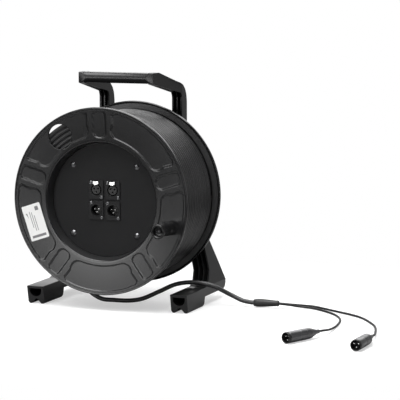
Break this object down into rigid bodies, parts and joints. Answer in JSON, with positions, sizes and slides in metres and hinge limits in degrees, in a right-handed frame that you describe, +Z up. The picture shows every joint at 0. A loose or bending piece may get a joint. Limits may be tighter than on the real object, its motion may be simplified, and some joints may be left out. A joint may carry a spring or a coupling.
{
  "type": "cable reel",
  "caption": "Free-standing stage cable reel: wound drum with a recessed audio socket panel and crank knob, on a rear stand with a carrying grip, its tail splitting to cable plugs.",
  "frame": {"origin": "centre of the whole footprint, on the floor", "axes": "+X to the right seen from the front, towards the tail's plugs; +Y to the rear, along the drum's axis; +Z up"},
  "size_m": [0.6556, 0.3944, 0.3886],
  "materials": {
    "stand_plastic": "satin moulded black plastic",
    "drum_plastic": "fine-grained moulded black plastic",
    "cable_jacket": "matt flexible black jacket",
    "panel_metal": "fine satin black coating",
    "socket_metal": "satin black coated die casting",
    "insulator": "matt black plastic",
    "brake_lining": "matt friction lining",
    "bright_metal": "bright plated",
    "steel": "zinc-plated steel",
    "black_steel": "blackened steel",
    "bronze": "sintered bronze",
    "label": "satin white film"
  },
  "bodies": {
    "stand": {"stand_frame": "stand_plastic", "axle": "steel", "axle_nut": "steel", "retaining_washer": "steel", "retaining_bolt": "steel", "tail_cable": "cable_jacket", "y_splitter": "insulator", "lead_1": "cable_jacket", "lead_2": "cable_jacket", "plug_1_shell": "socket_metal", "plug_1_boot": "insulator", "plug_1_insert": "insulator", "plug_2_shell": "socket_metal", "plug_2_boot": "insulator", "plug_2_insert": "insulator"},
    "drum": {"front_flange": "drum_plastic", "rear_flange": "drum_plastic", "drum_core": "drum_plastic", "bush_front": "bronze", "bush_rear": "bronze", "wound_cable": "cable_jacket", "cable_gland": "insulator", "inner_lead": "cable_jacket", "connector_panel": "panel_metal", "crank_bolt": "steel", "label": "label", "panel_screw_1": "black_steel", "panel_screw_2": "black_steel", "panel_screw_3": "black_steel", "panel_screw_4": "black_steel", "socket_female_1": "socket_metal", "insert_female_1": "insulator", "socket_female_2": "socket_metal", "insert_female_2": "insulator", "socket_male_1": "socket_metal", "insert_male_1": "insulator", "pin_1_1": "bright_metal", "pin_1_2": "bright_metal", "pin_1_3": "bright_metal", "socket_male_2": "socket_metal", "insert_male_2": "insulator", "pin_2_1": "bright_metal", "pin_2_2": "bright_metal", "pin_2_3": "bright_metal", "socket_screw_1": "black_steel", "socket_screw_2": "black_steel", "socket_screw_3": "black_steel", "socket_screw_4": "black_steel", "socket_screw_5": "black_steel", "socket_screw_6": "black_steel", "socket_screw_7": "black_steel", "socket_screw_8": "black_steel"},
    "crank": {"crank_knob": "drum_plastic"},
    "brake_dial": {"brake_knob": "stand_plastic"},
    "brake_shoe": {"brake_pad": "brake_lining"},
    "latch_1": {"release_tab_1": "bright_metal"},
    "latch_2": {"release_tab_2": "bright_metal"}
  },
  "joints": [
    {"name": "drum_spin", "type": "hinge", "parent": "stand", "child": "drum", "pos_m": [-0.17278, 0.05, 0.1813], "axis": [0, 1, 0], "continuous": true},
    {"name": "crank_knob_spin", "type": "hinge", "parent": "drum", "child": "crank", "pos_m": [-0.05021, -0.05, 0.14406], "axis": [0, 1, 0], "continuous": true},
    {"name": "brake_knob_turn", "type": "hinge", "parent": "stand", "child": "brake_dial", "pos_m": [-0.17278, 0.185, 0.1813], "axis": [0, -1, 0], "range_deg": [0, 90]},
    {"name": "brake_pad_slide", "type": "slide", "parent": "stand", "child": "brake_shoe", "axis": [0, -1, 0], "range_m": [0, 0.0012]},
    {"name": "latch_1_press", "type": "slide", "parent": "drum", "child": "latch_1", "axis": [0, 1, 0], "range_m": [0, 0.0015]},
    {"name": "latch_2_press", "type": "slide", "parent": "drum", "child": "latch_2", "axis": [0, 1, 0], "range_m": [0, 0.0015]}
  ],
  "couplings": [
    {"joint": "brake_pad_slide", "follows": "brake_knob_turn", "m_per_rad": 0.00076}
  ]
}
